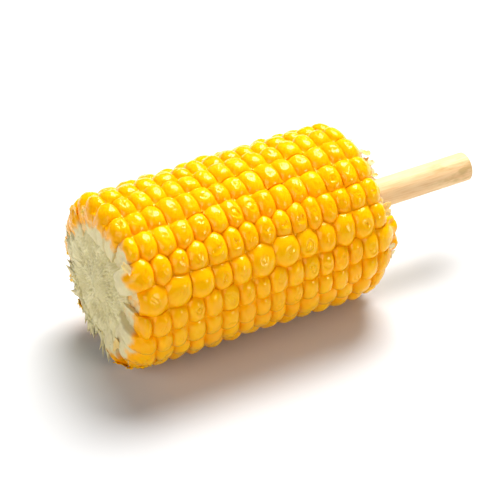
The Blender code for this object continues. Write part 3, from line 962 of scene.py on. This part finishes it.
def snapped_woody_cob():
    """Woody cob of a boiled ear, torn across: damp, pale and fibrous.

    It gives a soft matt face streaked outwards from its middle, darker and greener in its hollows:
    partly painted shade, partly the fibre's own darker, greener tint.
    """
    material, tree, shader = new_material("snapped_woody_cob")
    place = add_node(tree, "TexCoord", output="Object")
    hollow, tone = (
        add_node(tree, "Attribute", output="Fac", attribute_name=label) for label in ("hollow", "tone")
    )

    # Threads that run outwards: noise over the direction from the axis, drawn out along the radius
    from_middle = add_node(tree, "VectorMath", (place, (0.0, 1.0, 1.0)), operation="MULTIPLY")
    radius = add_node(tree, "VectorMath", (from_middle,), "Value", operation="LENGTH")
    outward = add_node(tree, "VectorMath", (from_middle,), operation="NORMALIZE")
    around = add_node(tree, "VectorMath", {0: outward, "Scale": THREAD_CIRCLE}, operation="SCALE")
    shrunk = add_node(tree, "Math", (radius, THREAD_STRETCH), operation="MULTIPLY")
    drawn = add_node(tree, "CombineXYZ", (shrunk,))
    radial = add_node(tree, "VectorMath", (around, drawn), operation="ADD")
    threads = add_node(tree, "TexNoise", {"Vector": radial, "Scale": 1 / COB_THREAD, "Detail": 4.0})
    patches = add_node(tree, "TexNoise", {"Vector": place, "Scale": 1 / COB_PATCH, "Detail": 3.0})
    grains = add_node(tree, "TexNoise", {"Vector": place, "Scale": 1 / COB_GRAIN, "Detail": 3.0})

    pale_threads = add_node(tree, "MapRange", (threads, 0.35, 0.7, 0.0, 1.0), **SOFTLY)
    pale = add_node(tree, "Mix", {0: pale_threads, FIRST: "#E0D49E", SECOND: "#F2E6BA"}, **COLORS)
    in_patches = add_node(tree, "MapRange", (patches, 0.45, 0.7, 0.0, 0.45), **SOFTLY)
    mottled = add_node(tree, "Mix", {0: in_patches, FIRST: pale, SECOND: "#DCD49C"}, **COLORS)
    # Partly painted shade: deeper in the relief's hollows the colour turns darker and greener, part shade
    # and part the fibre's own tint
    painted_hollow_shade = add_node(tree, "MapRange", (hollow, -0.5, 0.35, 0.0, 0.6), **SOFTLY)
    shaded = add_node(tree, "Mix", {0: painted_hollow_shade, FIRST: mottled, SECOND: "#C2B47A"}, **COLORS)
    browned = add_node(tree, "MapRange", (tone, 0.2, 1.0, 0.0, 0.35), **SOFTLY)
    color = add_node(tree, "Mix", {0: browned, FIRST: shaded, SECOND: "#D9C07A"}, **COLORS)

    rough = add_node(tree, "Math", (threads, grains), operation="ADD")
    bump = add_node(tree, "Bump", {"Height": rough, "Strength": 0.6, "Distance": 0.13 * MM})
    cob_sockets = {
        "Base Color": color,
        "Normal": bump,
        "Roughness": 0.72,
        "IOR": 1.4,
        "Subsurface Weight": 0.3,
        "Subsurface Radius": (1.0, 0.8, 0.4),
        "Subsurface Scale": 0.8 * MM,
    }
    set_sockets(shader, cob_sockets)
    return material


def turned_birch():
    """Bare birch, turned to a dowel and sanded, a little stained by the hot ear.

    It gives fine streaks along the stick, from cream to tan, and faint olive smudges near its end.
    """
    material, tree, shader = new_material("turned_birch")
    place = add_node(tree, "TexCoord", output="Object")
    fine = add_node(tree, "Mapping", {"Vector": place, "Scale": BIRCH_GRAIN_STRETCH})
    broad = add_node(tree, "Mapping", {"Vector": place, "Scale": BIRCH_BAND_STRETCH})
    grain = add_node(tree, "TexNoise", {"Vector": fine, "Scale": 1 / BIRCH_GRAIN, "Detail": 4.0})
    bands = add_node(tree, "TexNoise", {"Vector": broad, "Scale": 1 / BIRCH_BAND, "Detail": 3.0})
    smudges = add_node(tree, "TexNoise", {"Vector": broad, "Scale": 1 / BIRCH_SMUDGE, "Detail": 3.0})

    tan_streaks = add_node(tree, "MapRange", (grain, 0.35, 0.68, 0.0, 1.0), **SOFTLY)
    wood = add_node(tree, "Mix", {0: tan_streaks, FIRST: "#EBC592", SECOND: "#DFB27C"}, **COLORS)
    cream_bands = add_node(tree, "MapRange", (bands, 0.4, 0.65, 0.0, 0.5), **SOFTLY)
    banded = add_node(tree, "Mix", {0: cream_bands, FIRST: wood, SECOND: "#F2D3A2"}, **COLORS)

    along = add_node(tree, "SeparateXYZ", (place,))
    near_end = add_node(tree, "MapRange", (along, STAIN_STARTS, STAIN_FULL, 0.0, 1.0), **SOFTLY)
    in_smudges = add_node(tree, "MapRange", (smudges, 0.5, 0.66, 0.0, 1.0), **SOFTLY)
    patch = add_node(tree, "Math", (near_end, in_smudges), operation="MULTIPLY")
    stain = add_node(tree, "Math", (patch, 0.55), operation="MULTIPLY")
    color = add_node(tree, "Mix", {0: stain, FIRST: banded, SECOND: "#B39149"}, **COLORS)
    bump = add_node(tree, "Bump", {"Height": grain, "Strength": 0.5, "Distance": 0.08 * MM})
    set_sockets(shader, {"Base Color": color, "Normal": bump, "Roughness": 0.62, "IOR": 1.45})
    return material


def painted_board():
    """Smooth board, painted a matt pale grey.

    It takes the soft shadow and shows no texture of its own. The lights bring it to white.
    """
    material, tree, shader = new_material("painted_board")
    set_sockets(shader, {"Base Color": "#D5D5D5", "Roughness": 0.9, "Specular IOR Level": 0.0})
    return material


def build_camera():
    """The camera at the photograph's angle, fitted to the ear's outline and the stick."""
    turn, lift = math.radians(CAMERA_TURN), math.radians(CAMERA_LIFT)
    ahead = Vector((math.cos(lift) * math.sin(turn), math.cos(lift) * math.cos(turn), -math.sin(lift)))
    right = Vector((math.cos(turn), -math.sin(turn), 0.0))
    up = right.cross(ahead)
    data = bpy.data.cameras.new("camera")
    data.sensor_width = CAMERA_SENSOR
    data.lens = CAMERA_LENS
    data.clip_start = CAMERA_CLIP
    camera = bpy.data.objects.new("camera", data)
    camera.location = EAR_MIDDLE - CAMERA_DISTANCE * ahead + CAMERA_RIGHT * right + CAMERA_UP * up
    camera.rotation_euler = Matrix((right, up, -ahead)).transposed().to_euler()
    bpy.context.scene.collection.objects.link(camera)
    bpy.context.scene.camera = camera


def build_soft_box(box):
    """A square soft box that gives white light and looks at the ear."""
    data = bpy.data.lights.new(box.name, "AREA")
    data.size = box.size
    data.energy = box.watts
    light = bpy.data.objects.new(box.name, data)
    light.location = EAR_MIDDLE + Vector(box.direction).normalized() * box.distance
    light.rotation_euler = (EAR_MIDDLE - light.location).to_track_quat("-Z", "Y").to_euler()
    bpy.context.scene.collection.objects.link(light)


def build_studio():
    """A floor, soft boxes behind and above the ear, in front and on the left, and dim walls."""
    bm = bmesh.new()
    bmesh.ops.create_grid(bm, x_segments=1, y_segments=1, size=FLOOR_REACH)
    mesh = bpy.data.meshes.new("studio_floor")
    bm.to_mesh(mesh)
    bm.free()
    mesh.materials.append(painted_board())
    floor = bpy.data.objects.new("studio_floor", mesh)
    bpy.context.scene.collection.objects.link(floor)
    for box in SOFT_BOXES:
        build_soft_box(box)
    world = bpy.data.worlds.new("studio")
    world.use_nodes = True
    walls = world.node_tree.nodes["Background"]
    set_sockets(walls, {"Color": "#FFFFFF", "Strength": WALL_BRIGHTNESS})
    bpy.context.scene.world = world
    bpy.context.scene.view_settings.view_transform = "Standard"


skin = boiled_sweetcorn_skin()
wood = snapped_woody_cob()
build_kernels(skin)
build_cob(wood)
build_fibres(wood)
build_scraps(skin)
build_chaff(skin)
build_stick(turned_birch())
build_camera()
build_studio()
